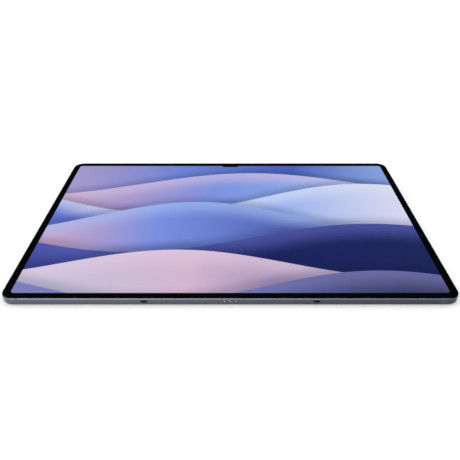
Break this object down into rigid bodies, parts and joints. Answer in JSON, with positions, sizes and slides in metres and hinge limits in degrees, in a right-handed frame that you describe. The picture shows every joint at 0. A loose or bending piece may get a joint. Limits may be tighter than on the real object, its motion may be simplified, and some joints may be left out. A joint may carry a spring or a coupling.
{
  "type": "tablet computer",
  "caption": "Thin slate-grey tablet computer with an edge-to-edge display, a row of rear cameras, side keys, dock contacts and a stylus held on its back by magnets.",
  "frame": {"origin": "centre of the flat back face", "axes": "+Z out through the display, +Y towards the long edge with the keys and card tray (the front camera's edge), +X to the right of a viewer who faces the display with that edge up"},
  "size_m": [0.3264, 0.2089, 0.0135],
  "materials": {
    "anodised_shell": "fine bead-blasted slate-grey anodising",
    "shell_plastic": "satin, colour-matched to the metal",
    "cover_glass": "polished, edge-ground",
    "border_ink": "black print under glass",
    "adhesive": "foam tape",
    "lit_panel": "lit picture of soft overlapping discs",
    "sensor_sheet": "copper-coloured film",
    "foil": "satin foil",
    "camera_plastic": "matt black",
    "sensor_glass": "dark, glossy",
    "battery_wrap": "foil pouch in dark wrap",
    "circuit_board": "solder mask",
    "chip_resin": "moulded resin",
    "sheet_metal": "plain",
    "copper": "satin",
    "speaker_plastic": "matt black",
    "diaphragm": "thin film with foil dome",
    "magnet": "plated",
    "mesh": "woven wire",
    "ring_metal": "anodised with a polished bevel",
    "camera_glass": "polished, coated",
    "flash_plastic": "frosted",
    "led": "phosphor",
    "seal_rubber": "matt",
    "contact_metal": "plated, silver",
    "stylus_shell": "satin, pale silver-grey",
    "stylus_key": "satin",
    "stylus_tip": "soft plastic",
    "stylus_inside": "ferrite, copper coil and board"
  },
  "bodies": {
    "tablet": {"antenna_breaks": "shell_plastic", "antenna_modules": "chip_resin", "backing_foil": "foil", "battery_cells": "battery_wrap", "battery_protection_board": "circuit_board", "board_link_flex": "sensor_sheet", "camera_rings": "ring_metal", "camera_windows": "camera_glass", "card_reader": "sheet_metal", "cover_glass": "cover_glass", "digitizer_sheet": "sensor_sheet", "display_adhesive": "adhesive", "display_driver_board": "sensor_sheet", "dock_contacts": "contact_metal", "dock_insulator": "camera_plastic", "fingerprint_sensor": "sensor_glass", "flash_led": "led", "flash_lens": "flash_plastic", "front_camera": "camera_plastic", "glass_border": "border_ink", "housing_magnets": "magnet", "key_bracket": "sheet_metal", "key_flex": "sensor_sheet", "main_board": "circuit_board", "main_board_chips": "chip_resin", "main_camera_body": "camera_plastic", "microphones": "camera_plastic", "oled_panel": "lit_panel", "rear_housing": "anodised_shell", "screws": "sheet_metal", "shield_cans": "sheet_metal", "side_seals": "seal_rubber", "speaker_boxes": "speaker_plastic", "speaker_magnets": "magnet", "speaker_meshes": "mesh", "stylus_strip": "shell_plastic", "sub_board": "circuit_board", "usb_c_shell": "sheet_metal", "usb_c_tongue": "camera_plastic", "vapour_chamber": "copper", "vibration_motor_case": "sheet_metal", "wide_camera": "camera_plastic"},
    "power_key": {"power_key": "anodised_shell"},
    "volume_key": {"volume_key": "anodised_shell"},
    "card_tray": {"card_tray": "anodised_shell"},
    "eject_rod": {"eject_rod": "sheet_metal"},
    "eject_lever": {"eject_lever": "sheet_metal"},
    "stylus": {"stylus_barrel": "stylus_shell", "stylus_end_cap": "stylus_shell", "stylus_cone": "stylus_shell", "stylus_electronics": "stylus_inside", "stylus_magnets": "magnet"},
    "stylus_button": {"stylus_button": "stylus_key"},
    "stylus_nib": {"stylus_nib": "stylus_tip"},
    "autofocus_lens": {"autofocus_lens": "camera_plastic"},
    "vibration_mass": {"vibration_mass": "sheet_metal"},
    "diaphragm_bottom_left": {"speaker_diaphragm_bottom_left": "diaphragm"},
    "diaphragm_bottom_right": {"speaker_diaphragm_bottom_right": "diaphragm"},
    "diaphragm_top_left": {"speaker_diaphragm_top_left": "diaphragm"},
    "diaphragm_top_right": {"speaker_diaphragm_top_right": "diaphragm"}
  },
  "joints": [
    {"name": "power_key_press", "type": "slide", "parent": "tablet", "child": "power_key", "axis": [0, -1, 0], "range_m": [0, 0.0003]},
    {"name": "volume_key_rock", "type": "hinge", "parent": "tablet", "child": "volume_key", "pos_m": [-0.1, 0.10065, 0.0027], "axis": [0, 0, 1], "range_deg": [-1.7, 1.7]},
    {"name": "card_tray_slide", "type": "slide", "parent": "tablet", "child": "card_tray", "axis": [0, 1, 0], "range_m": [0, 0.02]},
    {"name": "eject_rod_push", "type": "slide", "parent": "tablet", "child": "eject_rod", "axis": [0, -1, 0], "range_m": [0, 0.0015]},
    {"name": "eject_lever_turn", "type": "hinge", "parent": "tablet", "child": "eject_lever", "pos_m": [-0.066, 0.08, 0.0027], "axis": [0, 0, 1], "range_deg": [0, 12.6]},
    {"name": "stylus_detach", "type": "slide", "parent": "tablet", "child": "stylus", "axis": [0, 1, 0], "range_m": [0, 0.03]},
    {"name": "stylus_button_press", "type": "slide", "parent": "stylus", "child": "stylus_button", "axis": [0, 0, 1], "range_m": [0, 0.00025]},
    {"name": "stylus_nib_press", "type": "slide", "parent": "stylus", "child": "stylus_nib", "axis": [1, 0, 0], "range_m": [0, 0.0004]},
    {"name": "lens_focus", "type": "slide", "parent": "tablet", "child": "autofocus_lens", "axis": [0, 0, 1], "range_m": [-0.0002, 0.0002]},
    {"name": "vibration_mass_travel", "type": "slide", "parent": "tablet", "child": "vibration_mass", "axis": [0, 1, 0], "range_m": [-0.0006, 0.0006]},
    {"name": "diaphragm_bottom_left_travel", "type": "slide", "parent": "tablet", "child": "diaphragm_bottom_left", "axis": [0, 0, 1], "range_m": [-0.00025, 0.00025]},
    {"name": "diaphragm_bottom_right_travel", "type": "slide", "parent": "tablet", "child": "diaphragm_bottom_right", "axis": [0, 0, 1], "range_m": [-0.00025, 0.00025]},
    {"name": "diaphragm_top_left_travel", "type": "slide", "parent": "tablet", "child": "diaphragm_top_left", "axis": [0, 0, 1], "range_m": [-0.00025, 0.00025]},
    {"name": "diaphragm_top_right_travel", "type": "slide", "parent": "tablet", "child": "diaphragm_top_right", "axis": [0, 0, 1], "range_m": [-0.00025, 0.00025]}
  ],
  "couplings": [
    {"joint": "eject_lever_turn", "follows": "eject_rod_push", "rad_per_m": 144}
  ]
}
